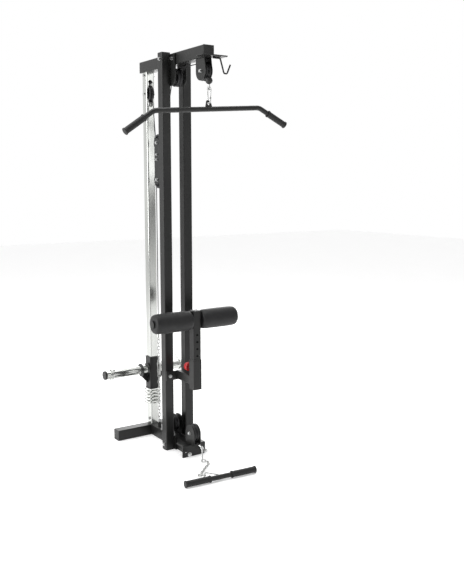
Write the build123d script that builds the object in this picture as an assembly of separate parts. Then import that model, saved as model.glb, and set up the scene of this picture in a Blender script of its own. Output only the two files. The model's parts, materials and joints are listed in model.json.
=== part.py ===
"""Plate-loaded lat pulldown and low row that bolts behind a half rack.

Millimetres, +Z up, +X to the user's right, -Y towards the user. The origin is on the floor, under the base
beam, midway between the uprights and level with their front faces. One STEP file per sub-part goes to parts/.
"""

from build123d import *
import math
import os

os.makedirs("parts", exist_ok=True)

# ---------------------------------------------------------------- driving dimensions
TUBE = 50.0  # uprights, guide tube, pad arm and receiver
BEAM = 60.0  # top beam, base beam, rear foot and the rack's own crossbars
WALL = 3.0
PLATE = 8.0  # plates between the beams and the uprights
CORNER = 4.0
HEIGHT = 2150.0
BEAM_BOTTOM = HEIGHT - BEAM
UPRIGHT_X = BEAM / 2 + PLATE + TUBE / 2

TOP_FRONT_Y = -311.0
TOP_REAR_Y = 365.0
GUIDE_Y = 322.0
FOOT_Y = 318.0
FOOT_HALF = 240.0
CROSSBAR_FRONT_Y = -144.0
CROSSBAR_GAP = 62.0
BASE_FRONT_Y = CROSSBAR_FRONT_Y + CROSSBAR_GAP
SADDLE_HALF = 71.0
SADDLE = 6.0

PULLEY_R = 47.0
PITCH_R = 44.0
PULLEY_WIDTH = 26.0
BEARING_R = 11.0
AXLE_R = 5.0
RUNNING_GAP = 0.05
HOLE_GAP = 0.25
CABLE_R = 2.5
NARROW_GAP = 32.0  # between the plates of the front brackets
BRACKET = 5.0

# pulley centres as (y, z)
TOP_FRONT = (-273.0, 2028.0)
TOP_REAR = (2.0, 2028.0)
GUIDE = (GUIDE_Y, 1975.0)
BLOCK_UPPER = (197.0, 1698.0)
BLOCK_LOWER = (197.0, 1495.0)
LOW_REAR = (76.0, 128.0)
LOW_FRONT = (-141.0, 128.0)
BRACKET_R = 46.0

CARRIAGE_Z = 370.0
CARRIAGE_HALF = 96.0
PEG_Z = 390.0
PEG_R = 25.0
PEG_END = 298.0

BALL_Z = 1979.0
BALL_R = 18.0
CARABINER_LENGTH = 80.0
CARABINER_WIRE = 4.0
CARABINER_WIDE = 16.0  # half the width between wire centres, at its wide and narrow ends
CARABINER_NARROW = 10.0
CARABINER_CORNER = 8.5
EYE_R = 8.0
EYE_WIRE = 2.5
EYE_Z = 1942.0  # centre of the eye at the lat cable's end
LAT_TILT = -4.2
BAR_R = 12.5

LINK_INNER = 20.0
LINK_WIRE = 2.0
LINK_HALF_WIDTH = 6.6
LINK_SLACK = 0.3

PAD_Z = 423.0
RECEIVER_Y = -169.0
RECEIVER_LOW = 380.0
RECEIVER_HIGH = 543.0
POST = 45.0
POST_LOW = 388.0
POST_HIGH = 804.0
PIN_Z = 488.0
PIN_PITCH = 38.0
ROLLER_Z = 757.0
ROLLER_R = 53.0
ROLLER_IN = 28.0
ROLLER_OUT = 250.0

ROW_HOOK_TOP = (2.0, -232.0, 73.0)  # centre of the low carabiner's upper wire
ROW_HOOK_LEAN_X = -17.0
ROW_CABLE_BEND = (0.0, -170.0, LOW_FRONT[1] - PITCH_R)  # where the slack cable turns down
FLOOR_LINK_Z = 8.8  # centre of the links that lie on the floor
BAR_HOOK_Z = 11.5  # centre of the other carabiner's wire in the bar's eye
ROW_EYE_CORNER = math.radians(67)  # where on the carabiner's rounded corner the eye sits
ROW_BAR_CENTRE = (-64.0, -517.0)
ROW_BAR_YAW = -4.5
ROW_BAR_Z = 18.7
ROW_HALF = 198.0
ROW_EYE_HOLE = 24.0  # from the bar's axis to its eye hole


# ---------------------------------------------------------------- helpers
def square_tube(size, length, wall=WALL, corner=CORNER):
    """A square tube along +Z from z = 0."""
    inner = size - 2 * wall
    section = RectangleRounded(size, size, corner) - RectangleRounded(inner, inner, max(corner - wall, 0.8))
    return extrude(section, length)


def tube_between(size, start, end, wall=WALL, corner=CORNER):
    """A square tube from one point to another along a row axis."""
    direction = Vector(*end) - Vector(*start)
    across = Vector(0, 0, 1) if abs(direction.Z) < 1 else Vector(1, 0, 0)
    frame = Plane(origin=start, x_dir=across, z_dir=direction.normalized())
    return frame * square_tube(size, direction.length, wall, corner)


def block_box(low, high):
    """A box from its lowest to its highest corner."""
    size = [b - a for a, b in zip(low, high)]
    centre = [(a + b) / 2 for a, b in zip(low, high)]
    return Pos(*centre) * Box(*size)


def rod_x(radius, low, high, y, z):
    return Pos((low + high) / 2, y, z) * Rot(0, 90, 0) * Cylinder(radius, high - low)


def rod_y(radius, low, high, x, z):
    return Pos(x, (low + high) / 2, z) * Rot(90, 0, 0) * Cylinder(radius, high - low)


def rod_z(radius, low, high, x, y):
    return Pos(x, y, (low + high) / 2) * Cylinder(radius, high - low)


def hexagon(radius, thickness):
    return extrude(RegularPolygon(radius, 6), thickness)


def bolt(grip, radius=AXLE_R):
    """A bolt along +X whose clamped length is centred on the origin, with head, nut and washers."""
    half, washer, head = grip / 2, radius * 0.3, radius * 1.3
    body = rod_x(radius, -half - washer, half + washer + 2 * radius + 2, 0, 0)
    for side in (-1, 1):
        body += rod_x(radius * 1.95, min(side * half, side * (half + washer)),
                      max(side * half, side * (half + washer)), 0, 0)
    turned_head = Pos(-half - washer - head, 0, 0) * Rot(0, 90, 0) * hexagon(radius * 1.75, head)
    turned_nut = Pos(half + washer, 0, 0) * Rot(0, 90, 0) * hexagon(radius * 1.75, radius * 1.6)
    return body + turned_head + turned_nut


def bolt_hole_x(radius, y, z, reach=200.0):
    return rod_x(radius + HOLE_GAP, -reach, reach, y, z)


def bearing(centre, gap):
    """A bearing cartridge on its axle, with spacer ends that reach both plates."""
    y, z = centre
    body = rod_x(BEARING_R, -12, 12, y, z) + rod_x(8, -gap / 2, gap / 2, y, z)
    return body - rod_x(AXLE_R + RUNNING_GAP, -gap, gap, y, z)


def pulley(centre):
    """A grooved wheel with a dished web, on the bearing at the given centre."""
    half, lip, web = PULLEY_WIDTH / 2, 6.5, 5.0
    bore, hub, rim = BEARING_R + RUNNING_GAP, 17.0, 37.0
    seat = CABLE_R + 0.4
    right = [
        (seat, PITCH_R), (lip, PULLEY_R), (half - 1.5, PULLEY_R), (half, PULLEY_R - 1.5), (half, rim),
        (web, rim - 2), (web, hub + 1), (half, hub), (half, bore),
    ]
    outline = right + [(-x, r) for x, r in reversed(right)]
    edges = [Line((*a, 0), (*b, 0)) for a, b in zip(outline, outline[1:])]
    groove = ThreePointArc((-seat, PITCH_R, 0), (0, PITCH_R - seat, 0), (seat, PITCH_R, 0))
    return Pos(0, *centre) * revolve(Face(Wire(edges + [groove])), Axis.X)


def round_plate(x, thickness, outline):
    """A flat plate whose outline is drawn in Y and Z, centred on the given x."""
    frame = Plane(origin=(x - thickness / 2, 0, 0), x_dir=(0, 1, 0), z_dir=(1, 0, 0))
    return extrude(frame * outline, thickness)


def tangent(first, sense_first, second, sense_second):
    """Where a cable leaves one pulley and meets the next, as two (y, z) points."""
    dy, dz = second[0] - first[0], second[1] - first[1]
    reach = math.hypot(dy, dz)
    heading = math.atan2(dz, dy) + math.asin((sense_first - sense_second) * PITCH_R / reach)
    normal = (math.sin(heading), -math.cos(heading))
    leave = tuple(c + sense_first * PITCH_R * n for c, n in zip(first, normal))
    meet = tuple(c + sense_second * PITCH_R * n for c, n in zip(second, normal))
    return leave, meet


def wrap(centre, start, end, upward):
    """The arc of a cable round a pulley, over its top or under its bottom."""
    across = Vector((start[0] + end[0]) / 2 - centre[0], (start[1] + end[1]) / 2 - centre[1])
    across = across.normalized() if across.length > 1 else Vector(0, 1 if upward else -1)
    if (across.Y > 0) != upward:
        across = across * -1
    top = (centre[0] + PITCH_R * across.X, centre[1] + PITCH_R * across.Y)
    return ThreePointArc((0, *start), (0, *top), (0, *end))


def cable(path):
    """A cable of round section along a path."""
    start = path @ 0
    return sweep(Plane(origin=start, z_dir=path % 0) * Circle(CABLE_R), path=path)


def strand(start, end):
    """A straight cable between two (y, z) points."""
    return cable(Line((0, *start), (0, *end)))


def oval_ring(length, half_width, wire):
    """A closed chain link in the XZ plane, centred on the origin, its long way along Z."""
    straight = length - half_width
    side, top = half_width, straight + half_width
    loop = Wire([
        Line((side, 0, -straight), (side, 0, straight)),
        ThreePointArc((side, 0, straight), (0, 0, top), (-side, 0, straight)),
        Line((-side, 0, straight), (-side, 0, -straight)),
        ThreePointArc((-side, 0, -straight), (0, 0, -top), (side, 0, -straight)),
    ])
    return sweep(Plane(origin=(side, 0, -straight), z_dir=(0, 0, 1)) * Circle(wire), path=loop)


def chain_link():
    """A link whose inner length is LINK_INNER."""
    return oval_ring(LINK_INNER / 2 + LINK_WIRE, LINK_HALF_WIDTH, LINK_WIRE)


def carabiner():
    """A snap hook in the XZ plane and its gate. Its long way is Z, and the gate is on the +X side."""
    half = CARABINER_LENGTH / 2 - CARABINER_WIRE
    wide, narrow = CARABINER_WIDE, CARABINER_NARROW
    side = narrow + (wide - narrow) * 0.5
    hook_path = FilletPolyline(
        (side - 1.6, 0, -half * 0.42), (narrow, 0, -half), (-narrow, 0, -half), (-wide, 0, half),
        (wide, 0, half), (side + 1.6, 0, half * 0.52),
        radius=CARABINER_CORNER,
    )
    hook = sweep(Plane(origin=hook_path @ 0, z_dir=hook_path % 0) * Circle(CARABINER_WIRE), path=hook_path)
    low, high = hook_path @ 0, hook_path @ 1
    lean = Vector(high.X - low.X, 0, high.Z - low.Z)
    along = lean.normalized()
    gate_frame = Plane(origin=low + along * 4.0, x_dir=(0, 1, 0), z_dir=along)
    length = lean.length - 4.4
    pivot_pin = gate_frame * (Rot(0, 90, 0) * Cylinder(1.0, 9.4))
    ears = Part()
    for side_y in (-1, 1):
        ears += gate_frame * (Pos(side_y * 4.1, 0, -1.0) * Box(1.2, 5, 8))
    gate = gate_frame * (Pos(0, 0, length / 2) * Cylinder(3.2, length) + Sphere(3.2))
    gate -= gate_frame * (Rot(0, 90, 0) * Cylinder(1.0 + RUNNING_GAP, 12))
    return hook + ears + pivot_pin, gate


def write(name, shape):
    """Exports one node as a compound of its separate solids."""
    export_step(Compound(children=list(shape.solids())), f"parts/{name}.step")


# ---------------------------------------------------------------- the cable's tangent points
TF_OUT, TR_IN = tangent(TOP_FRONT, -1, TOP_REAR, -1)
TR_OUT, BU_IN = tangent(TOP_REAR, -1, BLOCK_UPPER, 1)
BU_OUT, GP_IN = tangent(BLOCK_UPPER, 1, GUIDE, -1)
LF_OUT, LR_IN = tangent(LOW_FRONT, 1, LOW_REAR, 1)
LR_OUT, BL_IN = tangent(LOW_REAR, 1, BLOCK_LOWER, -1)
LAT_Y = TOP_FRONT[0] - PITCH_R
CARRIAGE_CABLE_Y = GUIDE[0] + PITCH_R
BL_OUT = (BLOCK_LOWER[0] + PITCH_R, BLOCK_LOWER[1])
ANCHOR_Y = BL_OUT[0]
LAT_WIRE_Z = EYE_Z - EYE_R + EYE_WIRE + CARABINER_WIRE + LINK_SLACK - (CARABINER_LENGTH - 2 * CARABINER_WIRE)


# ---------------------------------------------------------------- fixed frame
def base_beam():
    beam = tube_between(BEAM, (0, BASE_FRONT_Y, BEAM / 2), (0, FOOT_Y - BEAM / 2, BEAM / 2))
    for y in (25, 100):
        beam -= bolt_hole_x(AXLE_R, y, BEAM / 2)
    lug = block_box((-3, ANCHOR_Y - 14, BEAM), (3, ANCHOR_Y + 14, BEAM + 26))
    lug = fillet(lug.edges().filter_by(Axis.X).group_by(Axis.Z)[-1], 12)
    lug -= rod_x(ANCHOR_LUG_HOLE_R, -10, 10, ANCHOR_Y, ANCHOR_LUG_Z)
    return beam + lug


def rear_foot():
    foot = tube_between(BEAM, (-FOOT_HALF, FOOT_Y, BEAM / 2), (FOOT_HALF, FOOT_Y, BEAM / 2))
    plug = Pos(0, GUIDE_Y, BEAM) * square_tube(TUBE - 2 * 2.5 - 0.6, 55, 3, 2.5)
    plug -= bolt_hole_x(AXLE_R, GUIDE_Y, BEAM + 30)
    return foot + plug


def tube_caps():
    """Plastic end caps of the rear foot, the uprights and the rear of the top beam."""
    def cap(size):
        return extrude(RectangleRounded(size, size, CORNER), 3) + Pos(0, 0, -12) * extrude(
            RectangleRounded(size - 2 * WALL - 0.4, size - 2 * WALL - 0.4, 1), 12)

    caps = []
    for side in (-1, 1):
        caps.append(Pos(side * UPRIGHT_X, TUBE / 2, HEIGHT) * cap(TUBE))
        frame = Plane(origin=(side * FOOT_HALF, FOOT_Y, BEAM / 2), x_dir=(0, 1, 0), z_dir=(side, 0, 0))
        caps.append(frame * cap(BEAM))
    rear = Plane(origin=(0, TOP_REAR_Y, HEIGHT - BEAM / 2), x_dir=(1, 0, 0), z_dir=(0, 1, 0))
    caps.append(rear * cap(BEAM))
    return Compound(children=caps)


def low_front_bracket():
    """The saddle over the rack's rear crossbar, with the two plates that hold the low front pulley."""
    front_y = CROSSBAR_FRONT_Y - SADDLE
    front = block_box((-SADDLE_HALF, front_y, 0), (SADDLE_HALF, CROSSBAR_FRONT_Y, BEAM + SADDLE))
    top = block_box((-SADDLE_HALF, front_y, BEAM), (SADDLE_HALF, BASE_FRONT_Y, BEAM + SADDLE))
    tail = block_box((-BEAM / 2, BASE_FRONT_Y - 1, BEAM), (BEAM / 2, BASE_FRONT_Y + 70, BEAM + SADDLE))
    body = front + top + tail
    body = fillet(body.edges().filter_by(Axis.X).group_by(Axis.Y)[0].group_by(Axis.Z)[-1], SADDLE - 0.5)
    for x in (-50, 50):
        body -= rod_y(5.5, front_y - 5, CROSSBAR_FRONT_Y + 5, x, 28)
    y, z = LOW_FRONT
    low_edge = BEAM + SADDLE
    foot = Pos(y, (z + low_edge) / 2) * Rectangle(2 * BRACKET_R, z - low_edge)
    outline = Pos(y, z) * Circle(BRACKET_R) + foot
    for side in (-1, 1):
        body += round_plate(side * (NARROW_GAP + BRACKET) / 2, BRACKET, outline)
    return body - bolt_hole_x(AXLE_R, y, z)


def low_rear_bracket():
    """The plates between the base beam and the uprights, which hold the low rear pulley."""
    y, z = LOW_REAR
    outline = Pos(y, z) * Circle(BRACKET_R) + Pos(y, z / 2) * Rectangle(2 * BRACKET_R, z)
    outline += Pos(y / 2 - 8, 35) * Rectangle(y + 16, 70)
    plates = Part()
    for side in (-1, 1):
        plates += round_plate(side * (BEAM + PLATE) / 2, PLATE, outline)
    for hole in ((y, z), (25, BEAM / 2), (100, BEAM / 2)):
        plates -= bolt_hole_x(AXLE_R, *hole)
    return plates


def upright(side):
    post = Pos(side * UPRIGHT_X, TUBE / 2, 0) * square_tube(TUBE, HEIGHT)
    for z in (BEAM / 2, HEIGHT - BEAM / 2):
        post -= bolt_hole_x(AXLE_R, TUBE / 2, z)
    return post - rod_y(AXLE_R + HOLE_GAP, -10, TUBE + 10, side * UPRIGHT_X, PAD_Z)


def top_beam():
    beam = tube_between(BEAM, (0, TOP_FRONT_Y, HEIGHT - BEAM / 2), (0, TOP_REAR_Y, HEIGHT - BEAM / 2))
    for y in (-16, TUBE / 2):
        beam -= bolt_hole_x(AXLE_R, y, HEIGHT - BEAM / 2)
    plug = Pos(0, GUIDE_Y, BEAM_BOTTOM - 55) * square_tube(TUBE - 2 * 2.5 - 0.6, 55, 3, 2.5)
    plug -= Pos(0, GUIDE_Y, BEAM_BOTTOM - 16) * Rot(0, 90, 0) * Cylinder(AXLE_R + HOLE_GAP, 80)
    plug -= block_box((-14.5, GUIDE_Y - 40, BEAM_BOTTOM - 60), (14.5, GUIDE_Y + 40, BEAM_BOTTOM - 30))
    return beam + plug


def top_rear_bracket():
    y, z = TOP_REAR
    top = HEIGHT - 6
    outline = Pos(y, z) * Circle(BRACKET_R) + Pos(y, (z + top) / 2) * Rectangle(2 * BRACKET_R, top - z)
    plates = Part()
    for side in (-1, 1):
        plates += round_plate(side * (BEAM + PLATE) / 2, PLATE, outline)
    for hole in ((y, z), (-16, HEIGHT - BEAM / 2), (TUBE / 2, HEIGHT - BEAM / 2)):
        plates -= bolt_hole_x(AXLE_R, *hole)
    return plates


def top_front_bracket():
    y, z = TOP_FRONT
    back = y + BRACKET_R
    front = TOP_FRONT_Y
    outline = Pos(y, z) * Circle(BRACKET_R)
    corners = [(back, z), (back, BEAM_BOTTOM), (front + 4, BEAM_BOTTOM), (y - BRACKET_R, z)]
    outline += Polygon(*corners, align=None)
    plates = Part()
    for side in (-1, 1):
        plates += round_plate(side * (NARROW_GAP + BRACKET) / 2, BRACKET, outline)
    return plates - bolt_hole_x(AXLE_R, y, z)


def guide_tube():
    tube = Pos(0, GUIDE_Y, BEAM) * square_tube(TUBE, BEAM_BOTTOM - BEAM, 2.5, 6)
    y, z = GUIDE
    face = Plane(origin=(0, y - TUBE, z), x_dir=(1, 0, 0), z_dir=(0, 1, 0))
    slot = face * SlotOverall(148, 30, rotation=90)
    tube -= extrude(slot, 2 * TUBE)
    for hole_z in (z, BEAM_BOTTOM - 16, BEAM + 30):
        tube -= bolt_hole_x(AXLE_R, y, hole_z)
    return tube


def top_mount_plate():
    """An angle on the top beam's front end that bolts up under the rack's top crossmember."""
    leg = block_box((-BEAM / 2, TOP_FRONT_Y - SADDLE, BEAM_BOTTOM), (BEAM / 2, TOP_FRONT_Y, HEIGHT))
    shelf = block_box((-SADDLE_HALF, TOP_FRONT_Y - SADDLE - 60, BEAM_BOTTOM),
                      (SADDLE_HALF, TOP_FRONT_Y, BEAM_BOTTOM + SADDLE))
    plate = leg + shelf
    for x in (-50, 50):
        plate -= rod_z(5.5, BEAM_BOTTOM - 5, BEAM_BOTTOM + SADDLE + 5, x, TOP_FRONT_Y - SADDLE - 30)
    return plate


def bar_hook():
    """A bent wire hook for storing the lat bar."""
    y = -342.0
    wire = 4.0
    shelf = BEAM_BOTTOM - wire
    corners = [(8, y, shelf), (50, y, shelf), (72, y, 2016), (90, y, 2015), (110, y, 2060)]
    path = FilletPolyline(*corners, radius=8)
    return sweep(Plane(origin=path @ 0, z_dir=path % 0) * Circle(wire), path=path)


def pad_bracket():
    """The cross plate, forward arm, receiver and pin barrel of the knee pad."""
    arm, arm_z, wall = TUBE - 2, 428.0, 2.0
    plate = block_box((-UPRIGHT_X - 23, -SADDLE, PAD_Z - 24), (UPRIGHT_X + 23, 0, PAD_Z + 26))
    for side in (-1, 1):
        plate -= rod_y(AXLE_R + HOLE_GAP, -20, 10, side * UPRIGHT_X, PAD_Z)
    welded_in = wall - 0.3
    arm = tube_between(arm, (0, RECEIVER_Y + TUBE / 2 - welded_in, arm_z), (0, 1 - SADDLE, arm_z))
    receiver = Pos(0, RECEIVER_Y, RECEIVER_LOW) * square_tube(TUBE, RECEIVER_HIGH - RECEIVER_LOW, wall, 3.5)
    barrel = rod_y(9, RECEIVER_Y + TUBE / 2 - 1, RECEIVER_Y + TUBE / 2 + 22, 0, PIN_Z)
    body = plate + arm + receiver + barrel
    return body - rod_y(5.1, RECEIVER_Y + 10, RECEIVER_Y + TUBE / 2 + 30, 0, PIN_Z)


def frame_bolts():
    """Every bolt that clamps the fixed frame together."""
    across = 2 * (UPRIGHT_X + TUBE / 2)
    beam_and_plates = BEAM + 2 * PLATE
    bolts = [
        Pos(0, TUBE / 2, BEAM / 2) * bolt(across),
        Pos(0, 100, BEAM / 2) * bolt(beam_and_plates),
        Pos(0, TUBE / 2, HEIGHT - BEAM / 2) * bolt(across),
        Pos(0, -16, HEIGHT - BEAM / 2) * bolt(beam_and_plates),
        Pos(0, GUIDE_Y, BEAM_BOTTOM - 16) * bolt(TUBE),
        Pos(0, GUIDE_Y, BEAM + 30) * bolt(TUBE),
    ]
    pad_grip = TUBE + SADDLE
    for side in (-1, 1):
        bolts.append(Pos(side * UPRIGHT_X, (TUBE - SADDLE) / 2, PAD_Z) * Rot(0, 0, 90) * bolt(pad_grip))
    return Compound(children=bolts)


FRAME_AXLES = {
    "top_front": (TOP_FRONT, NARROW_GAP, BRACKET),
    "top_rear": (TOP_REAR, BEAM, PLATE),
    "guide": (GUIDE, TUBE - 5.0, 2.5),
    "low_rear": (LOW_REAR, BEAM, PLATE),
    "low_front": (LOW_FRONT, NARROW_GAP, BRACKET),
}


def axle_grip(name):
    centre, gap, plate = FRAME_AXLES[name]
    return gap + 2 * plate


def pulley_axles():
    """The frame's pulley bolts, and the plain pin of the top rear pulley, held captive by the uprights."""
    bolted = [name for name in FRAME_AXLES if name != "top_rear"]
    axles = [Pos(0, *FRAME_AXLES[name][0]) * bolt(axle_grip(name)) for name in bolted]
    pin_half = BEAM / 2 + PLATE - 0.3
    return Compound(children=axles + [rod_x(AXLE_R, -pin_half, pin_half, *TOP_REAR)])


def pulley_bearings():
    return Compound(children=[bearing(centre, gap) for centre, gap, plate in FRAME_AXLES.values()])


# ---------------------------------------------------------------- cables
def high_cable_fixed():
    """The high cable over the two top pulleys, and over the guide pulley."""
    start = (LAT_Y, TOP_FRONT[1])
    top = Wire([
        wrap(TOP_FRONT, start, TF_OUT, True),
        Line((0, *TF_OUT), (0, *TR_IN)),
        wrap(TOP_REAR, TR_IN, TR_OUT, True),
    ])
    guide = wrap(GUIDE, GP_IN, (CARRIAGE_CABLE_Y, GUIDE[1]), True)
    return Compound(children=[cable(top), cable(guide)])


def low_cable_fixed():
    bottom = (LOW_FRONT[0], LOW_FRONT[1] - PITCH_R)
    path = Wire([Line((0, *bottom), (0, *LR_IN)), wrap(LOW_REAR, LR_IN, LR_OUT, False)])
    return cable(path)


def block_cable_wraps():
    return Compound(children=[
        cable(wrap(BLOCK_UPPER, BU_IN, BU_OUT, False)),
        cable(wrap(BLOCK_LOWER, BL_IN, BL_OUT, True)),
    ])


# ---------------------------------------------------------------- floating block
def block_plates():
    (y, high), (_, low) = BLOCK_UPPER, BLOCK_LOWER
    outline = Pos(y, (high + low) / 2) * SlotOverall(high - low + 52, 52, rotation=90)
    plates = Part()
    for side in (-1, 1):
        plates += round_plate(side * 17.5, 4, outline)
    for hole in (BLOCK_UPPER, BLOCK_LOWER):
        plates -= bolt_hole_x(AXLE_R, *hole)
    for z in (1606, 1634):
        plates -= bolt_hole_x(4, y, z)
    return plates


def block_bolts():
    """The block's axles, with their bearings, and the two spacer bolts between the plates."""
    y = BLOCK_UPPER[0]
    pieces = []
    for centre in (BLOCK_UPPER, BLOCK_LOWER):
        pieces += [Pos(0, *centre) * bolt(39), bearing(centre, 31)]
    for z in (1606, 1634):
        spacer = rod_x(7, -15.5, 15.5, y, z) - rod_x(4 + RUNNING_GAP, -20, 20, y, z)
        pieces += [Pos(0, y, z) * bolt(39, 4), spacer]
    return Compound(children=pieces)


# ---------------------------------------------------------------- carriage
def carriage_sleeve():
    """The sleeve on the guide tube, with its lug, gussets and peg flanges."""
    low, high = CARRIAGE_Z - CARRIAGE_HALF + 4, CARRIAGE_Z + CARRIAGE_HALF - 4
    sleeve = Pos(0, GUIDE_Y, low) * square_tube(BEAM, high - low, 2.5, 4)
    for side in (-1, 1):
        inner = side * (BEAM / 2 - 0.5)
        flange = rod_x(37, min(inner, side * 36), max(inner, side * 36), GUIDE_Y, PEG_Z)
        gusset = extrude(
            Plane(origin=(0, GUIDE_Y + 3, 0), x_dir=(1, 0, 0), z_dir=(0, -1, 0)) * Polygon(
                (inner, 305), (side * 73, 352), (side * 73, 372), (inner, 372), align=None), 6)
        gusset -= rod_x(PEG_R + HOLE_GAP, -400, 400, GUIDE_Y, PEG_Z)
        sleeve += flange + gusset
    hollow = Pos(0, GUIDE_Y, low) * extrude(RectangleRounded(BEAM - 5, BEAM - 5, 1.5), high - low)
    lug = block_box((-3, GUIDE_Y + BEAM / 2 - 1, 422), (3, CARRIAGE_CABLE_Y + 12, 456))
    lug = fillet(lug.edges().filter_by(Axis.X).group_by(Axis.Y)[-1], 11)
    lug -= rod_x(AXLE_R + HOLE_GAP, -10, 10, CARRIAGE_CABLE_Y, 440)
    return sleeve - hollow + lug


def carriage_liners():
    """Flanged plastic slides in both ends of the sleeve."""
    low, high = CARRIAGE_Z - CARRIAGE_HALF, CARRIAGE_Z + CARRIAGE_HALF
    bore = extrude(RectangleRounded(TUBE + 0.7, TUBE + 0.7, 6.3), 60)
    liners = []
    for end, way in ((low, 1), (high, -1)):
        flange = extrude(RectangleRounded(BEAM + 4, BEAM + 4, 5), way * 4)
        neck = extrude(RectangleRounded(BEAM - 5.1, BEAM - 5.1, 1.6), way * 30)
        liners.append(Pos(0, GUIDE_Y, end) * (flange + neck - Pos(0, 0, -30) * bore))
    return Compound(children=liners)


def weight_pegs():
    pegs = []
    for side in (-1, 1):
        tube = rod_x(PEG_R, min(side * 36, side * PEG_END), max(side * 36, side * PEG_END), GUIDE_Y, PEG_Z)
        bore = rod_x(PEG_R - 3, min(side * 36, side * 400), max(side * 36, side * 400), GUIDE_Y, PEG_Z)
        pegs.append(tube - bore)
    return Compound(children=pegs)


def peg_stops():
    """The stop discs that the plates rest against."""
    stops = []
    for side in (-1, 1):
        disc = rod_x(38, side * 76 - 2.5, side * 76 + 2.5, GUIDE_Y, PEG_Z)
        stops.append(disc - rod_x(PEG_R + RUNNING_GAP, -400, 400, GUIDE_Y, PEG_Z))
    return Compound(children=stops)


def peg_caps():
    caps = []
    for side in (-1, 1):
        head = rod_x(PEG_R, side * (PEG_END + 6) - 6, side * (PEG_END + 6) + 6, GUIDE_Y, PEG_Z)
        head = fillet(head.edges().filter_by(GeomType.CIRCLE), 2.5)
        plug = rod_x(PEG_R - 3.1, side * (PEG_END - 9) - 10, side * (PEG_END - 9) + 10, GUIDE_Y, PEG_Z)
        caps.append(head + plug)
    return Compound(children=caps)


def bumper_spring():
    """The compression spring that hangs round the guide tube under the carriage."""
    height, radius, wire, turns = 92.0, 45.0, 3.5, 4.5
    path = Helix(pitch=height / turns, height=height, radius=radius)
    coil = sweep(Plane(origin=path @ 0, z_dir=path % 0) * Circle(wire), path=path)
    return Pos(0, GUIDE_Y, CARRIAGE_Z - CARRIAGE_HALF - wire - height - 0.2) * coil


def carriage_cable_end():
    """The fork and ferrule that join the high cable to the carriage lug."""
    y = CARRIAGE_CABLE_Y
    cheeks = [block_box((side * 5 - 1.7, y - 8, 430), (side * 5 + 1.7, y + 8, 466)) for side in (-1, 1)]
    fork = cheeks[0] + cheeks[1] + block_box((-6.7, y - 8, 460), (6.7, y + 8, 468)) + rod_z(6, 467, 484, 0, y)
    fork -= rod_x(AXLE_R + HOLE_GAP, -20, 20, y, 440)
    pin = Pos(0, y, 440) * bolt(13.4)
    return Compound(children=[fork, pin])


COLLAR_X = {-1: -266.0, 1: 185.0}  # the right one is pushed further in


def spring_collar(side):
    """A coiled wire clip on the peg, with two bent handles in sleeves."""
    wire, radius, coil_length, reach, splay = 3.0, PEG_R + 3.3, 16.0, 92.0, 11.0
    path = Helix(pitch=6.4, height=coil_length, radius=radius)
    clip = sweep(Plane(origin=path @ 0, z_dir=path % 0) * Circle(wire), path=path)
    for foot, lean in ((path @ 0, -splay), (path @ 1, splay)):
        outward = Vector(foot.X, foot.Y).normalized()
        tip = outward * reach + Vector(0, 0, foot.Z + lean)
        way = (tip - foot).normalized()
        for start, end, radius_here in ((foot, tip, wire), (tip - way * 34, tip + way * 2, wire + 2)):
            line = Line(start, end)
            clip += sweep(Plane(origin=start, z_dir=way) * Circle(radius_here), path=line)
        clip += Pos(*foot) * Sphere(wire)
    turn = 118 if side < 0 else -62
    place = Pos(COLLAR_X[side], GUIDE_Y, PEG_Z) * Rot(0, side * 90, 0) * Rot(0, 0, turn)
    return place * Pos(0, 0, -coil_length / 2) * clip


# ---------------------------------------------------------------- lat side
def lat_ball():
    ball = Pos(0, LAT_Y, BALL_Z) * Sphere(BALL_R)
    return ball - rod_z(CABLE_R + 0.2, BALL_Z - 30, BALL_Z + 30, 0, LAT_Y)


def lat_cable_eye():
    """The cable's end inside the ball, with the ferrule and eye under it."""
    stem = rod_z(CABLE_R, BALL_Z - BALL_R - 6, BALL_Z + BALL_R, 0, LAT_Y)
    ferrule = rod_z(5, BALL_Z - BALL_R - 12, BALL_Z - BALL_R - 0.5, 0, LAT_Y)
    eye = Pos(0, LAT_Y, EYE_Z) * Rot(90, 0, 0) * Torus(EYE_R, EYE_WIRE)
    return stem + ferrule + eye


def lat_carabiner_place():
    """Puts a carabiner in the YZ plane, hanging in the cable's eye."""
    return Pos(0, LAT_Y, LAT_WIRE_Z + CARABINER_LENGTH / 2 - CARABINER_WIRE) * Rot(0, 0, -90)


def bar_shape(points, radius):
    path = FilletPolyline(*[(x, 0, z) for x, z in points], radius=radius)
    return sweep(Plane(origin=path @ 0, z_dir=path % 0) * Circle(BAR_R), path=path)


def grip(length, outer_flange):
    """A ribbed rubber grip along +Z from z = 0, closed at its outer end."""
    body = Cylinder(16, length, align=(Align.CENTER, Align.CENTER, Align.MIN))
    body += Cylinder(outer_flange, 7, align=(Align.CENTER, Align.CENTER, Align.MIN))
    body += Pos(0, 0, length - 7) * Cylinder(outer_flange, 9, align=(Align.CENTER, Align.CENTER, Align.MIN))
    return body - Cylinder(BAR_R + 0.05, length - 1, align=(Align.CENTER, Align.CENTER, Align.MIN))


def eye_plate(height, base, top, thickness=8.0):
    plate = extrude(Plane.XZ.offset(-thickness / 2) * Polygon(
        (-base, 0), (base, 0), (top, height), (-top, height), align=None), thickness)
    plate = fillet(plate.edges().filter_by(Axis.Y).group_by(Axis.Z)[-1], top * 0.7)
    return plate - rod_y(8, -20, 20, 0, height - 16)


LAT_BEND, LAT_END, LAT_DROP = 308.0, 468.0, 92.0
LAT_PLATE = 43.0


def lat_bar_place():
    """The bar hangs from its eye hole, one end lower than the other."""
    eye = Pos(-3.4, LAT_Y, LAT_WIRE_Z - 1.3)
    return eye * Rot(0, LAT_TILT, 0) * Pos(0, 0, -(LAT_PLATE - 16))


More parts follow.
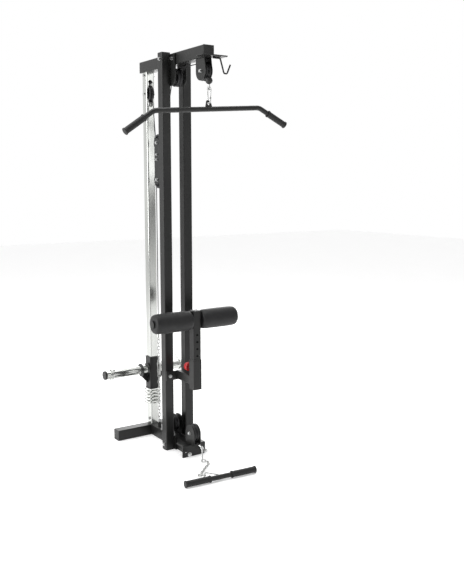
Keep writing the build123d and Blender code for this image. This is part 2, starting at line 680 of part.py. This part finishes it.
def lat_bar():
    points = [(-LAT_END, -LAT_DROP), (-LAT_BEND, 0), (LAT_BEND, 0), (LAT_END, -LAT_DROP)]
    return lat_bar_place() * (bar_shape(points, 60) + eye_plate(LAT_PLATE, 21, 10))


def lat_bar_grips():
    slope = Vector(LAT_END - LAT_BEND, 0, -LAT_DROP).normalized()
    grips = []
    for side in (-1, 1):
        way = Vector(side * slope.X, 0, slope.Z)
        end = Vector(side * LAT_END, 0, -LAT_DROP) + way * 1.1
        start = end - way * 124
        grips.append(lat_bar_place() * (Plane(origin=start, x_dir=(0, 1, 0), z_dir=way) * grip(124, 18.5)))
    return Compound(children=grips)


# ---------------------------------------------------------------- low row side
def unit(vector):
    return vector.normalized()


CARABINER_SPAN = CARABINER_LENGTH - 2 * CARABINER_WIRE  # between the centres of its end wires
LINK_SEAT = LINK_INNER / 2 - CARABINER_WIRE - LINK_SLACK  # from a carabiner's end wire to its link's centre


def carabiner_frame(low, high, across):
    """The frame of a carabiner from the centre of its narrow end's wire to the wide end's."""
    up = unit(high - low)
    return Plane(origin=(low + high) * 0.5, x_dir=unit(across - up * across.dot(up)), z_dir=up)


def cable_hook_frame():
    """The carabiner that stands under the low cable's eye, seen nearly edge on from the left."""
    top, drop = Vector(*ROW_HOOK_TOP), ROW_HOOK_TOP[2] - FLOOR_LINK_Z
    back = math.sqrt(CARABINER_SPAN ** 2 - drop ** 2 - ROW_HOOK_LEAN_X ** 2)
    foot = top + Vector(ROW_HOOK_LEAN_X, -back, -drop)
    return carabiner_frame(foot, top, Vector(0.53, 0.85, 0))


def row_cable_end():
    """Where the low cable's eye holds the carabiner, the way the cable leaves, and the wire's way there."""
    hook = cable_hook_frame()
    across = CARABINER_WIDE - CARABINER_CORNER * (1 - math.sin(ROW_EYE_CORNER))
    along = CARABINER_SPAN / 2 - CARABINER_CORNER * (1 - math.cos(ROW_EYE_CORNER))
    held = hook.origin + hook.x_dir * across + hook.z_dir * along
    wire = hook.x_dir * math.cos(ROW_EYE_CORNER) - hook.z_dir * math.sin(ROW_EYE_CORNER)
    return held, unit(Vector(*ROW_CABLE_BEND) - held), wire


FERRULE_LENGTH = 17.0


def row_eye():
    """The swaged eye at the end of the low cable."""
    held, pull, wire = row_cable_end()
    centre = held + pull * (EYE_R - EYE_WIRE - CARABINER_WIRE - LINK_SLACK)
    normal = unit(wire - pull * wire.dot(pull))
    ring = Plane(origin=centre, x_dir=pull, z_dir=normal) * Torus(EYE_R, EYE_WIRE)
    grip_frame = Plane(origin=centre + pull * (EYE_R + 0.5), x_dir=normal, z_dir=pull)
    ferrule = grip_frame * Cylinder(4.5, FERRULE_LENGTH, align=(Align.CENTER, Align.CENTER, Align.MIN))
    return ring + ferrule


def row_strand():
    """The slack end of the low cable, from the low front pulley to its eye."""
    held, pull, _ = row_cable_end()
    end = held + pull * (2 * EYE_R + FERRULE_LENGTH - EYE_WIRE - CARABINER_WIRE - LINK_SLACK + 0.5)
    bottom = (0, LOW_FRONT[0], LOW_FRONT[1] - PITCH_R)
    return cable(FilletPolyline(bottom, ROW_CABLE_BEND, end, radius=60))


def bar_hook_frame():
    """The carabiner that lies tilted on the floor with its narrow end in the row bar's eye."""
    out, down = ROW_EYE_HOLE * math.cos(ROW_EYE_DIP), ROW_EYE_HOLE * math.sin(ROW_EYE_DIP)
    eye = row_bar_place() * Pos(0, out, -down)
    away = unit(Vector(-0.8, 0.6, 0.055))
    low = eye.position
    return carabiner_frame(low, low + away * CARABINER_SPAN, Vector(0.6, 0.8, 1))


def chain_along(points, ways, rolls):
    """Interlocked links at the given points, each rolled about its way by an angle from the upright."""
    links = []
    for point, way, roll in zip(points, ways, rolls):
        frame = Plane(origin=point, x_dir=upright_across(way), z_dir=way)
        links.append(frame * Rot(0, 0, roll) * chain_link())
    return links


def upright_across(way):
    upright = Vector(0, -1, 0) if abs(way.Z) > 0.7 else Vector(0, 0, 1)
    return unit(upright - way * upright.dot(way))


def roll_across(way, wire):
    """The roll that sets a link across the given wire."""
    zero, side = upright_across(way), way.cross(upright_across(way))
    wanted = wire.cross(way)
    return math.degrees(math.atan2(wanted.dot(side), wanted.dot(zero)))


ANCHOR_LOWER_LINKS = 15
ANCHOR_UPPER_LINKS = 7
ANCHOR_LUG_Z = BEAM + 15
ANCHOR_LUG_HOLE_R = 5.0
ANCHOR_CABLE_Z = 612.0


def anchor_chain():
    """The chain from the base lug up to the low cable's other end, with a carabiner part way."""
    pitch, up = LINK_INNER - LINK_SLACK, Vector(0, 0, 1)
    first_z = ANCHOR_LUG_Z + LINK_WIRE + LINK_INNER / 2 + LINK_WIRE
    lower = [first_z + i * pitch for i in range(ANCHOR_LOWER_LINKS)]
    hook_z = lower[-1] + LINK_SEAT + CARABINER_SPAN / 2
    upper = [hook_z + CARABINER_SPAN / 2 + LINK_SEAT + i * pitch for i in range(ANCHOR_UPPER_LINKS)]
    pieces = []
    for heights in (lower, upper):
        places = [Vector(0, ANCHOR_Y, z) for z in heights]
        pieces += chain_along(places, [up] * len(heights), [90 * (i + 1) for i in range(len(heights))])
    pieces += [Pos(0, ANCHOR_Y, hook_z) * Rot(0, 0, 90) * piece for piece in carabiner()]
    ring_z = upper[-1] + LINK_INNER / 2 - EYE_WIRE - LINK_SLACK + EYE_R
    ring = Pos(0, ANCHOR_Y, ring_z) * Rot(0, 90, 0) * Torus(EYE_R, EYE_WIRE)
    pieces.append(ring + rod_z(4.5, ring_z + EYE_R + 0.5, ANCHOR_CABLE_Z, 0, ANCHOR_Y))
    return Compound(children=pieces)


def row_chain():
    """The links on the floor, from one low carabiner to the other."""
    cable_hook, bar_side = cable_hook_frame(), bar_hook_frame()
    half = CARABINER_SPAN / 2
    foot = cable_hook.origin - cable_hook.z_dir * half
    far = bar_side.origin + bar_side.z_dir * half
    first = unit(Vector(0, 0, -1).cross(cable_hook.x_dir))
    last = bar_side.z_dir * -1
    start, end = foot + first * LINK_SEAT, far - last * LINK_SEAT
    floor = FLOOR_LINK_Z
    way_points = [(-4, -301, floor), (-48, -346, floor), (-93, -389, floor), (-137, -425, floor + 2)]
    curve = Spline(start, *way_points, end, tangents=[first, last])
    steps = math.ceil(curve.length / (LINK_INNER - LINK_SLACK))
    places = [curve.position_at(i / steps) for i in range(steps + 1)]
    ways = [curve.tangent_at(i / steps) for i in range(steps + 1)]
    roll_start = roll_across(ways[0], cable_hook.x_dir)
    twist = (roll_across(ways[-1], bar_side.x_dir) - 90 * steps - roll_start + 90) % 180 - 90
    rolls = [roll_start + 90 * i + twist * i / steps for i in range(steps + 1)]
    return Compound(children=chain_along(places, ways, rolls))


def row_bar_place():
    return Pos(ROW_BAR_CENTRE[0], ROW_BAR_CENTRE[1], ROW_BAR_Z) * Rot(0, 0, ROW_BAR_YAW)


ROW_EYE_DIP = math.asin((ROW_BAR_Z - BAR_HOOK_Z) / ROW_EYE_HOLE)


def row_bar():
    """The straight bar on the floor, with its eye plate lying back towards the rack."""
    bar = Rot(0, 90, 0) * Cylinder(BAR_R, 2 * ROW_HALF)
    plate = Rot(-90 - math.degrees(ROW_EYE_DIP), 0, 0) * eye_plate(ROW_EYE_HOLE + 16, 20, 10, 5.0)
    return row_bar_place() * (bar + plate)


def row_bar_grips():
    grips = []
    for side in (-1, 1):
        start = Vector(side * (ROW_HALF + 1.1 - 140), 0, 0)
        frame = Plane(origin=start, x_dir=(0, 1, 0), z_dir=(side, 0, 0))
        grips.append(row_bar_place() * (frame * grip(140, 18.5)))
    return Compound(children=grips)


# ---------------------------------------------------------------- knee pad
def pad_post():
    """The post with its row of holes, and the roller rod through its top."""
    post = Pos(0, RECEIVER_Y, POST_LOW) * square_tube(POST, POST_HIGH - POST_LOW, 2.5, 3)
    for step in range(-2, 6):
        post -= rod_y(5.5, RECEIVER_Y - 40, RECEIVER_Y + 40, 0, PIN_Z + step * PIN_PITCH)
    rod = rod_x(12.5, -ROLLER_OUT - 3, ROLLER_OUT + 3, RECEIVER_Y, ROLLER_Z)
    collars = Part()
    for side in (-1, 1):
        collars += rod_x(20, side * (ROLLER_OUT + 5) - 3, side * (ROLLER_OUT + 5) + 3, RECEIVER_Y, ROLLER_Z)
    return post + rod + collars


def pad_post_cap():
    cap = extrude(RectangleRounded(POST, POST, 3), 4) + Pos(0, 0, -12) * extrude(
        RectangleRounded(POST - 5.4, POST - 5.4, 1), 12)
    return Pos(0, RECEIVER_Y, POST_HIGH) * cap


def foam_roller(side):
    low, high = min(side * ROLLER_IN, side * ROLLER_OUT), max(side * ROLLER_IN, side * ROLLER_OUT)
    roller = rod_x(ROLLER_R, low, high, RECEIVER_Y, ROLLER_Z)
    roller = fillet(roller.edges().filter_by(GeomType.CIRCLE), 14)
    return roller - rod_x(12.5 + 0.08, low - 5, high + 5, RECEIVER_Y, ROLLER_Z)


def pop_pin():
    return rod_y(5.0, RECEIVER_Y + TUBE / 2 - 1.8, RECEIVER_Y + 80, 0, PIN_Z)


def pop_pin_knob():
    low, high = RECEIVER_Y + 60, RECEIVER_Y + 90
    knob = rod_y(23, low, high, 0, PIN_Z)
    knob = fillet(knob.edges().filter_by(GeomType.CIRCLE).group_by(Axis.Y)[-1], 10)
    knob = fillet(knob.edges().filter_by(GeomType.CIRCLE).group_by(Axis.Y)[0], 4)
    return knob - rod_y(5.0 + RUNNING_GAP, low - 5, RECEIVER_Y + 80.5, 0, PIN_Z)


# ---------------------------------------------------------------- writing every node
def main():
    write("base_beam", base_beam())
    write("rear_foot", rear_foot())
    write("tube_caps", tube_caps())
    write("low_front_bracket", low_front_bracket())
    write("low_rear_bracket", low_rear_bracket())
    write("left_upright", upright(-1))
    write("right_upright", upright(1))
    write("top_beam", top_beam())
    write("top_rear_bracket", top_rear_bracket())
    write("top_front_bracket", top_front_bracket())
    write("guide_tube", guide_tube())
    write("top_mount_plate", top_mount_plate())
    write("bar_hook", bar_hook())
    write("pad_bracket", pad_bracket())
    write("frame_bolts", frame_bolts())
    write("pulley_axles", pulley_axles())
    write("pulley_bearings", pulley_bearings())

    wheels = {
        "top_front_pulley": TOP_FRONT, "top_rear_pulley": TOP_REAR, "guide_pulley": GUIDE,
        "block_upper_pulley": BLOCK_UPPER, "block_lower_pulley": BLOCK_LOWER,
        "low_rear_pulley": LOW_REAR, "low_front_pulley": LOW_FRONT,
    }
    for name, centre in wheels.items():
        write(name, pulley(centre))

    write("high_cable_fixed", high_cable_fixed())
    write("low_cable_fixed", low_cable_fixed())
    write("block_cable_wraps", block_cable_wraps())
    write("lat_strand", strand((LAT_Y, TOP_FRONT[1]), (LAT_Y, BALL_Z + BALL_R)))
    write("high_strands", Compound(children=[strand(TR_OUT, BU_IN), strand(BU_OUT, GP_IN)]))
    write("carriage_strand", strand((CARRIAGE_CABLE_Y, GUIDE[1]), (CARRIAGE_CABLE_Y, 484)))
    anchor_top = (ANCHOR_Y, ANCHOR_CABLE_Z)
    write("low_strands", Compound(children=[strand(LR_OUT, BL_IN), strand(BL_OUT, anchor_top)]))
    write("row_strand", row_strand())

    write("block_plates", block_plates())
    write("block_bolts", block_bolts())

    write("carriage_sleeve", carriage_sleeve())
    write("carriage_liners", carriage_liners())
    write("weight_pegs", weight_pegs())
    write("peg_stops", peg_stops())
    write("peg_caps", peg_caps())
    write("bumper_spring", bumper_spring())
    write("carriage_cable_end", carriage_cable_end())
    write("left_spring_collar", spring_collar(-1))
    write("right_spring_collar", spring_collar(1))

    write("lat_ball", lat_ball())
    write("lat_cable_eye", lat_cable_eye())
    hook, gate = carabiner()
    write("lat_carabiner", lat_carabiner_place() * hook)
    write("lat_carabiner_gate", lat_carabiner_place() * gate)
    write("lat_bar", lat_bar())
    write("lat_bar_grips", lat_bar_grips())

    cable_hook, bar_side = cable_hook_frame(), bar_hook_frame()
    row_hooks = [frame * piece for frame in (cable_hook, bar_side) for piece in (hook, gate)]
    write("row_carabiners", Compound(children=[row_eye(), *row_hooks]))
    write("row_chain", row_chain())
    write("row_bar", row_bar())
    write("row_bar_grips", row_bar_grips())

    write("anchor_chain", anchor_chain())

    write("pad_post", pad_post())
    write("pad_post_cap", pad_post_cap())
    write("left_foam_roller", foam_roller(-1))
    write("right_foam_roller", foam_roller(1))
    write("pop_pin", pop_pin())
    write("pop_pin_knob", pop_pin_knob())


main()
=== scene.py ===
"""Looks of the lat pulldown machine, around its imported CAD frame. Metres, in the frame's own axes."""

import json
import math

import bmesh
import bpy
import numpy as np
from mathutils import Matrix, Vector


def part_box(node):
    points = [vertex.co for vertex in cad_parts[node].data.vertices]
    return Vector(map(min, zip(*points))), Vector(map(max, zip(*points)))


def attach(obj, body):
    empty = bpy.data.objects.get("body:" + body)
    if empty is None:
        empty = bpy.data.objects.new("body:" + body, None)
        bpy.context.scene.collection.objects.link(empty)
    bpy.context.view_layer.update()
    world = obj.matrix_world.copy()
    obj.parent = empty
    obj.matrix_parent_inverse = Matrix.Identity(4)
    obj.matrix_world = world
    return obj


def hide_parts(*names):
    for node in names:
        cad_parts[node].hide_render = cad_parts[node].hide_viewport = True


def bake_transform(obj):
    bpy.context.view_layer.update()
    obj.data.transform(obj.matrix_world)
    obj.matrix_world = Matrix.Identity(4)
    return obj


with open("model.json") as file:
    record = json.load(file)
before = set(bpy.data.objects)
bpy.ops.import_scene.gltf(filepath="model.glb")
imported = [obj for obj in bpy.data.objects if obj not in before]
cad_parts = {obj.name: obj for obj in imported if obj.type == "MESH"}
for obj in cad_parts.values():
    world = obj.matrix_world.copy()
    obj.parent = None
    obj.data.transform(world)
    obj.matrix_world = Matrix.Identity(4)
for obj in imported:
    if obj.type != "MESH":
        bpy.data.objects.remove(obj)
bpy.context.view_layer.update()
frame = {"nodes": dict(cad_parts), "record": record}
NODES = frame["nodes"]

# The bores of the foam rollers and of the grips, and how far a grip's closed end bulges.
ROLLER_BORE, GRIP_BORE, GRIP_DOME = 0.0128, 0.01255, 0.0012

# The rack's bolts: their holes in the saddle plate, then the radius and thickness of washer and head.
RACK_HOLE_X, RACK_HOLE_Z = 0.05, 0.028
WASHER_R, WASHER, HEAD_R, HEAD = 0.0118, 0.0022, 0.0094, 0.0065


# ---------------------------------------------------------------- camera, light and floor
def make_camera():
    """At the left front, a little above half height, looking slightly down."""
    downward, turned_right = math.radians(7.597), math.radians(34.005)
    data = bpy.data.cameras.new("camera")
    data.lens = 47.55
    camera = bpy.data.objects.new("camera", data)
    camera.location = (-2.0125, -3.5033, 1.4811)
    camera.rotation_euler = (math.radians(90) - downward, 0, -turned_right)
    bpy.context.scene.collection.objects.link(camera)
    bpy.context.scene.camera = camera


def area_light(name, place, aim, size, power):
    data = bpy.data.lights.new(name, "AREA")
    data.shape = "RECTANGLE"
    data.size, data.size_y = size
    data.energy = power
    light = bpy.data.objects.new(name, data)
    light.location = place
    light.rotation_euler = (Vector(aim) - Vector(place)).to_track_quat("-Z", "Y").to_euler()
    bpy.context.scene.collection.objects.link(light)


def make_world():
    """A white backdrop that lights the object from behind and above, and less from the front."""
    world = bpy.data.worlds.new("studio")
    world.use_nodes = True
    tree = world.node_tree
    background = tree.nodes["Background"]
    background.inputs["Color"].default_value = (1.0, 1.0, 1.0, 1)
    axes = tree.nodes.new("ShaderNodeSeparateXYZ")
    tree.links.new(tree.nodes.new("ShaderNodeTexCoord").outputs["Generated"], axes.inputs["Vector"])
    front_light, rear_light = 0.22, 1.0
    light = spread(tree, axes.outputs["Y"], front_light, rear_light, start=-0.85, stop=0.5)
    seen = tree.nodes.new("ShaderNodeMath")
    seen.operation = "MAXIMUM"
    tree.links.new(tree.nodes.new("ShaderNodeLightPath").outputs["Is Camera Ray"], seen.inputs[0])
    tree.links.new(light, seen.inputs[1])
    tree.links.new(seen.outputs[0], background.inputs["Strength"])
    bpy.context.scene.world = world


def make_studio():
    middle = (0, 0, 1.1)
    area_light("left_softbox", (-4.2, 0.4, 2.2), middle, (2.2, 3.2), 150)
    area_light("front_softbox", (1.8, -4.4, 2.6), middle, (1.6, 2.4), 25)
    area_light("top_softbox", (0, 0.2, 5.0), middle, (4.0, 4.0), 120)
    area_light("rear_softbox", (2.4, 3.6, 2.4), middle, (2.4, 2.4), 60)
    make_world()
    bpy.context.scene.view_settings.view_transform = "Standard"


def make_floor():
    """A pale floor just under the part, which glows a little so that its far end stays white."""
    mesh = bpy.data.meshes.new("floor")
    reach, level = 14.0, -0.0004
    corners = [(x * reach, y * reach, level) for x, y in ((-1, -1), (1, -1), (1, 1), (-1, 1))]
    mesh.from_pydata(corners, [], [(0, 1, 2, 3)])
    floor = bpy.data.objects.new("floor", mesh)
    bpy.context.scene.collection.objects.link(floor)
    white, paler = (0.88, 0.88, 0.88), (0.91, 0.91, 0.91)
    glow = {"Emission_Color": (1, 1, 1, 1), "Emission_Strength": 0.3}
    mesh.materials.append(finish("pale_floor", white, paler, (0.6, 0.75), 0.5, 0.02, 0.02, **glow))


# ---------------------------------------------------------------- materials
def noise(tree, size, detail=4.0, stretch=(1, 1, 1)):
    """A noise texture in the frame's coordinates whose blobs are about this size."""
    coords = tree.nodes.new("ShaderNodeTexCoord")
    mapping = tree.nodes.new("ShaderNodeMapping")
    mapping.inputs["Scale"].default_value = stretch
    texture = tree.nodes.new("ShaderNodeTexNoise")
    texture.inputs["Scale"].default_value = 1 / size
    texture.inputs["Detail"].default_value = detail
    tree.links.new(coords.outputs["Object"], mapping.inputs["Vector"])
    tree.links.new(mapping.outputs["Vector"], texture.inputs["Vector"])
    return texture.outputs["Fac"]


def spread(tree, source, low, high, start=0.3, stop=0.7):
    """Maps a value from start..stop onto low..high and holds it there."""
    node = tree.nodes.new("ShaderNodeMapRange")
    for name, value in (("From Min", start), ("From Max", stop), ("To Min", low), ("To Max", high)):
        node.inputs[name].default_value = value
    tree.links.new(source, node.inputs["Value"])
    return node.outputs["Result"]


def blend_colours(tree, factor, first, second):
    """Goes from the first colour to the second as the factor goes from 0 to 1."""
    node = tree.nodes.new("ShaderNodeMix")
    node.data_type = "RGBA"
    tree.links.new(factor, node.inputs["Factor"])
    first_colour, second_colour, mixed = node.inputs[6], node.inputs[7], node.outputs[2]
    first_colour.default_value = (*first, 1)
    second_colour.default_value = (*second, 1)
    return mixed


def finish(name, dark, light, rough, patch, grain, relief, stretch=(1, 1, 1), **sockets):
    """A material that drifts between two colours over patches, with a fine grain in relief."""
    material = bpy.data.materials.new(name)
    material.use_nodes = True
    tree = material.node_tree
    shader = tree.nodes["Principled BSDF"]
    drift = spread(tree, noise(tree, patch, 5.0, stretch), 0, 1)
    tree.links.new(blend_colours(tree, drift, dark, light), shader.inputs["Base Color"])
    gloss_patch = patch * 0.4
    tree.links.new(spread(tree, noise(tree, gloss_patch, 6.0, stretch), *rough), shader.inputs["Roughness"])
    bump = tree.nodes.new("ShaderNodeBump")
    bump.inputs["Strength"].default_value = relief
    bump.inputs["Distance"].default_value = grain * 0.5
    tree.links.new(noise(tree, grain, 3.0, stretch), bump.inputs["Height"])
    tree.links.new(bump.outputs["Normal"], shader.inputs["Normal"])
    for socket, value in sockets.items():
        shader.inputs[socket.replace("_", " ")].default_value = value
    return material


# Each slot's two colours, roughness range, size of patch, size of grain, and relief.
METALS = {
    "chrome_plate": ((0.50, 0.51, 0.49), (0.62, 0.63, 0.61), (0.12, 0.22), 0.08, 0.0012, 0.03),
    "zinc_fastener": ((0.46, 0.47, 0.47), (0.60, 0.60, 0.59), (0.24, 0.42), 0.006, 0.0008, 0.12),
    "galvanised_chain": ((0.34, 0.35, 0.34), (0.50, 0.50, 0.49), (0.28, 0.5), 0.008, 0.0008, 0.18),
    "bearing_steel": ((0.40, 0.40, 0.41), (0.55, 0.55, 0.55), (0.22, 0.36), 0.004, 0.0006, 0.08),
}
PLASTICS = {
    "black_paint": ((0.0075, 0.0077, 0.0075), (0.0100, 0.0102, 0.0096), (0.32, 0.42), 0.12, 0.0016, 0.04),
    "pulley_nylon": ((0.007, 0.007, 0.008), (0.011, 0.011, 0.012), (0.38, 0.52), 0.03, 0.0009, 0.12),
    "coated_cable": ((0.008, 0.008, 0.009), (0.013, 0.013, 0.013), (0.28, 0.42), 0.02, 0.0015, 0.15),
    "black_plastic": ((0.007, 0.007, 0.007), (0.011, 0.011, 0.011), (0.42, 0.58), 0.02, 0.0007, 0.22),
    "grip_rubber": ((0.009, 0.009, 0.009), (0.014, 0.014, 0.014), (0.44, 0.6), 0.015, 0.0008, 0.2),
    "roller_foam": ((0.008, 0.008, 0.0084), (0.011, 0.011, 0.0114), (0.46, 0.6), 0.03, 0.0014, 0.15),
    "red_plastic": ((0.34, 0.008, 0.010), (0.44, 0.014, 0.014), (0.26, 0.38), 0.02, 0.001, 0.06),
}
EXTRAS = {
    "chrome_plate": {"stretch": (1, 1, 0.15)},
    "black_paint": {"Specular_IOR_Level": 0.35},
    "pulley_nylon": {"Specular_IOR_Level": 0.4},
    "coated_cable": {"Coat_Weight": 0.15, "Coat_Roughness": 0.25},
    "grip_rubber": {"Specular_IOR_Level": 0.35},
    "roller_foam": {"Specular_IOR_Level": 0.35},
    "red_plastic": {"Coat_Weight": 0.2},
}


def make_materials():
    """One material for each slot of the record."""
    made = {slot: finish(slot, *row, **EXTRAS.get(slot, {}), Metallic=1.0) for slot, row in METALS.items()}
    return made | {slot: finish(slot, *row, **EXTRAS.get(slot, {})) for slot, row in PLASTICS.items()}


def paint_nodes(materials):
    """Gives each CAD node the material of its slot."""
    for entry in frame["record"]["subparts"]:
        mesh = NODES[entry["node"]].data
        mesh.materials.clear()
        mesh.materials.append(materials[entry["material_slot"]])


# ---------------------------------------------------------------- reading the CAD solids
def solids_of(node):
    """The node's separate solids, each as a bmesh of its own."""
    whole = bmesh.new()
    whole.from_mesh(NODES[node].data)
    bmesh.ops.remove_doubles(whole, verts=whole.verts, dist=1e-5)
    unseen, groups = set(whole.verts), []
    while unseen:
        group, edge = set(), [unseen.pop()]
        while edge:
            vert = edge.pop()
            group.add(vert)
            near = {e.other_vert(vert) for e in vert.link_edges} & unseen
            unseen -= near
            edge += near
        groups.append(group)
    parts = []
    for group in groups:
        part = whole.copy()
        part.verts.ensure_lookup_table()
        keep = {v.index for v in group}
        bmesh.ops.delete(part, geom=[v for v in part.verts if v.index not in keep], context="VERTS")
        parts.append(part)
    whole.free()
    return parts


def long_axis(part):
    """The two ends of a long straight solid, on its own axis, and its largest radius."""
    points = np.array([v.co for v in part.verts])
    lowest, highest = points.min(0), points.max(0)
    middle = (lowest + highest) / 2
    way = np.linalg.svd(points - middle, full_matrices=False)[2][0]
    along = (points - middle) @ way
    low, high = middle + way * along.min(), middle + way * along.max()
    reach = np.linalg.norm(points - middle - np.outer(along, way), axis=1).max()
    return Vector(low), Vector(high), reach


def new_piece(name, part, slot, materials, smooth=True):
    """Makes an object of a bmesh, which it frees, in one of the record's slots."""
    mesh = bpy.data.meshes.new(name)
    part.to_mesh(mesh)
    part.free()
    mesh.materials.append(materials[slot])
    for face in mesh.polygons:
        face.use_smooth = smooth
    piece = bpy.data.objects.new(name, mesh)
    bpy.context.scene.collection.objects.link(piece)
    return piece


# ---------------------------------------------------------------- straight runs of cable
def make_strands(materials):
    """Each straight run of cable as a piece of its own; it runs between a fixed pulley and a body that
    moves.
    """
    runs = [
        ("lat_strand", "lat_end", True), ("carriage_strand", "carriage", True),
        ("high_strands", "block", True), ("low_strands", "block", False),
    ]
    for node, mover, moves_below in runs:
        for index, part in enumerate(sorted(solids_of(node), key=lambda p: min(v.co.y for v in p.verts))):
            low, high, _ = long_axis(part)
            if low.z > high.z:
                low, high = high, low
            piece = new_piece(f"{node}_run_{index + 1}", part, "coated_cable", materials)
            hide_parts(node)
            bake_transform(piece)


def make_row_strand(materials):
    """The slack end of the low cable, which runs to the row bar."""
    part = solids_of("row_strand")[0]
    piece = new_piece("row_strand_run", part, "coated_cable", materials)
    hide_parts("row_strand")
    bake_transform(piece)


# ---------------------------------------------------------------- turned pieces
def lathe(profile, start, end, segments=48):
    """A closed ring of (along, radius) points turned about the line from start to end."""
    way = (end - start).normalized()
    turn = Vector((0, 0, 1)).rotation_difference(way).to_matrix().to_4x4()
    place = Matrix.Translation(start) @ turn
    part = bmesh.new()
    rings = []
    for step in range(segments):
        angle = 2 * math.pi * step / segments
        cos, sin = math.cos(angle), math.sin(angle)
        rings.append([part.verts.new(place @ Vector((r * cos, r * sin, a))) for a, r in profile])
    count = len(profile)
    for here, there in zip(rings, rings[1:] + rings[:1]):
        for i in range(count):
            j = (i + 1) % count
            part.faces.new((here[i], here[j], there[j], there[i]))
    bmesh.ops.recalc_face_normals(part, faces=part.faces)
    return part


def roller_profile(length, radius, bore):
    """A foam tube that swells a little in the middle and rolls over at its ends."""
    power, swell, lip = 9.0, 0.012, 0.001
    half, steps, share_of_half_turn = length / 2, 40, 0.985
    outer = []
    for step in range(steps + 1):
        angle = math.pi * (step / steps - 0.5) * share_of_half_turn
        sine, cosine = math.sin(angle), math.cos(angle)
        along = half + half * math.copysign(abs(sine) ** (2 / power), sine)
        crown = 1 - swell * (along / half - 1) ** 2
        outer.append((along, max(radius * abs(cosine) ** (2 / power) * crown, bore + lip)))
    first, last = outer[0][0], outer[-1][0]
    return outer + [(last - lip, bore), (first + lip, bore)]


def make_rollers(materials):
    for node, body in (("left_foam_roller", "left_roller"), ("right_foam_roller", "right_roller")):
        low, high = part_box(node)
        y, z = (low.y + high.y) / 2, (low.z + high.z) / 2
        radius = (high.z - low.z) / 2
        profile = roller_profile(high.x - low.x, radius, ROLLER_BORE)
        part = lathe(profile, Vector((low.x, y, z)), Vector((high.x, y, z)), 72)
        piece = new_piece(node.replace("foam_roller", "foam_sleeve"), part, "roller_foam", materials)
        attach(piece, body)
        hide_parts(node)


def grip_profile(length, flange, bore):
    """A ribbed sleeve with a flange at each end, closed over the bar's end."""
    pitch, rib, body = 0.0062, 0.00045, 0.0158
    lip, lip_slope, step = 0.0065, 0.0006, 0.0011
    round_depth, round_reach = 0.0012, 0.0016
    outer = []
    count = int(length / step)
    for i in range(count + 1):
        along = length * i / count
        near = min(along, length - along)
        swell = 1 / (1 + math.exp((near - lip) / lip_slope))
        ribs = rib * math.cos(2 * math.pi * along / pitch) * (1 - swell)
        round_off = round_depth * max(0.0, 1 - near / round_reach) ** 2
        outer.append((along, body + ribs + (flange - body) * swell - round_off))
    centre = 0.0002
    dome = [(length + 0.0008, flange * 0.72), (length + 0.0011, flange * 0.35), (length + GRIP_DOME, centre)]
    inside = [(length - GRIP_DOME, centre), (length - GRIP_DOME, bore), (0.0, bore)]
    return outer + dome + inside


def make_grips(materials):
    for node, body in (("lat_bar_grips", "lat_bar"), ("row_bar_grips", "row_end")):
        for part in sorted(solids_of(node), key=lambda p: min(v.co.x for v in p.verts)):
            low, high, reach = long_axis(part)
            part.free()
            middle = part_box(node)[0].lerp(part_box(node)[1], 0.5)
            if (low - middle).length > (high - middle).length:
                low, high = high, low
            side = "left" if high.x < middle.x else "right"
            profile = grip_profile((high - low).length - GRIP_DOME, reach, GRIP_BORE)
            sleeve = lathe(profile, low, high)
            piece = new_piece(f"{side}_{node[:-1]}", sleeve, "grip_rubber", materials)
            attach(piece, body)
            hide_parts(node)


# ---------------------------------------------------------------- bolts on the rack's side
def add_prism(part, centre_x, centre_z, sides, layers):
    """Rings of (y, radius), skinned and capped at both ends."""
    rings = []
    for y, radius in layers:
        angles = [2 * math.pi * (step + 0.5) / sides for step in range(sides)]
        corners = [(centre_x + radius * math.cos(a), y, centre_z + radius * math.sin(a)) for a in angles]
        rings.append([part.verts.new(corner) for corner in corners])
    for here, there in zip(rings, rings[1:]):
        for i in range(sides):
            j = (i + 1) % sides
            part.faces.new((here[i], here[j], there[j], there[i]))
    part.faces.new(rings[0])
    part.faces.new(rings[-1])


def make_rack_bolts(materials):
    """Washers and chamfered hexagon heads in the saddle plate's two holes."""
    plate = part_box("low_front_bracket")[0].y
    seat = plate - WASHER
    front = seat - HEAD
    hexagon = [(front, HEAD_R * 0.88), (front + 0.001, HEAD_R), (seat, HEAD_R)]
    disc = [(seat, WASHER_R - 0.0008), (seat + 0.0007, WASHER_R), (plate, WASHER_R)]
    for name, x in (("left_rack_bolt", -RACK_HOLE_X), ("right_rack_bolt", RACK_HOLE_X)):
        part = bmesh.new()
        add_prism(part, x, RACK_HOLE_Z, 6, hexagon)
        add_prism(part, x, RACK_HOLE_Z, 32, disc)
        bmesh.ops.recalc_face_normals(part, faces=part.faces)
        piece = new_piece(name, part, "zinc_fastener", materials, smooth=False)
        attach(piece, "frame")


make_camera()
make_studio()
make_floor()
MATERIALS = make_materials()
paint_nodes(MATERIALS)
make_strands(MATERIALS)
make_row_strand(MATERIALS)
make_rollers(MATERIALS)
make_grips(MATERIALS)
make_rack_bolts(MATERIALS)
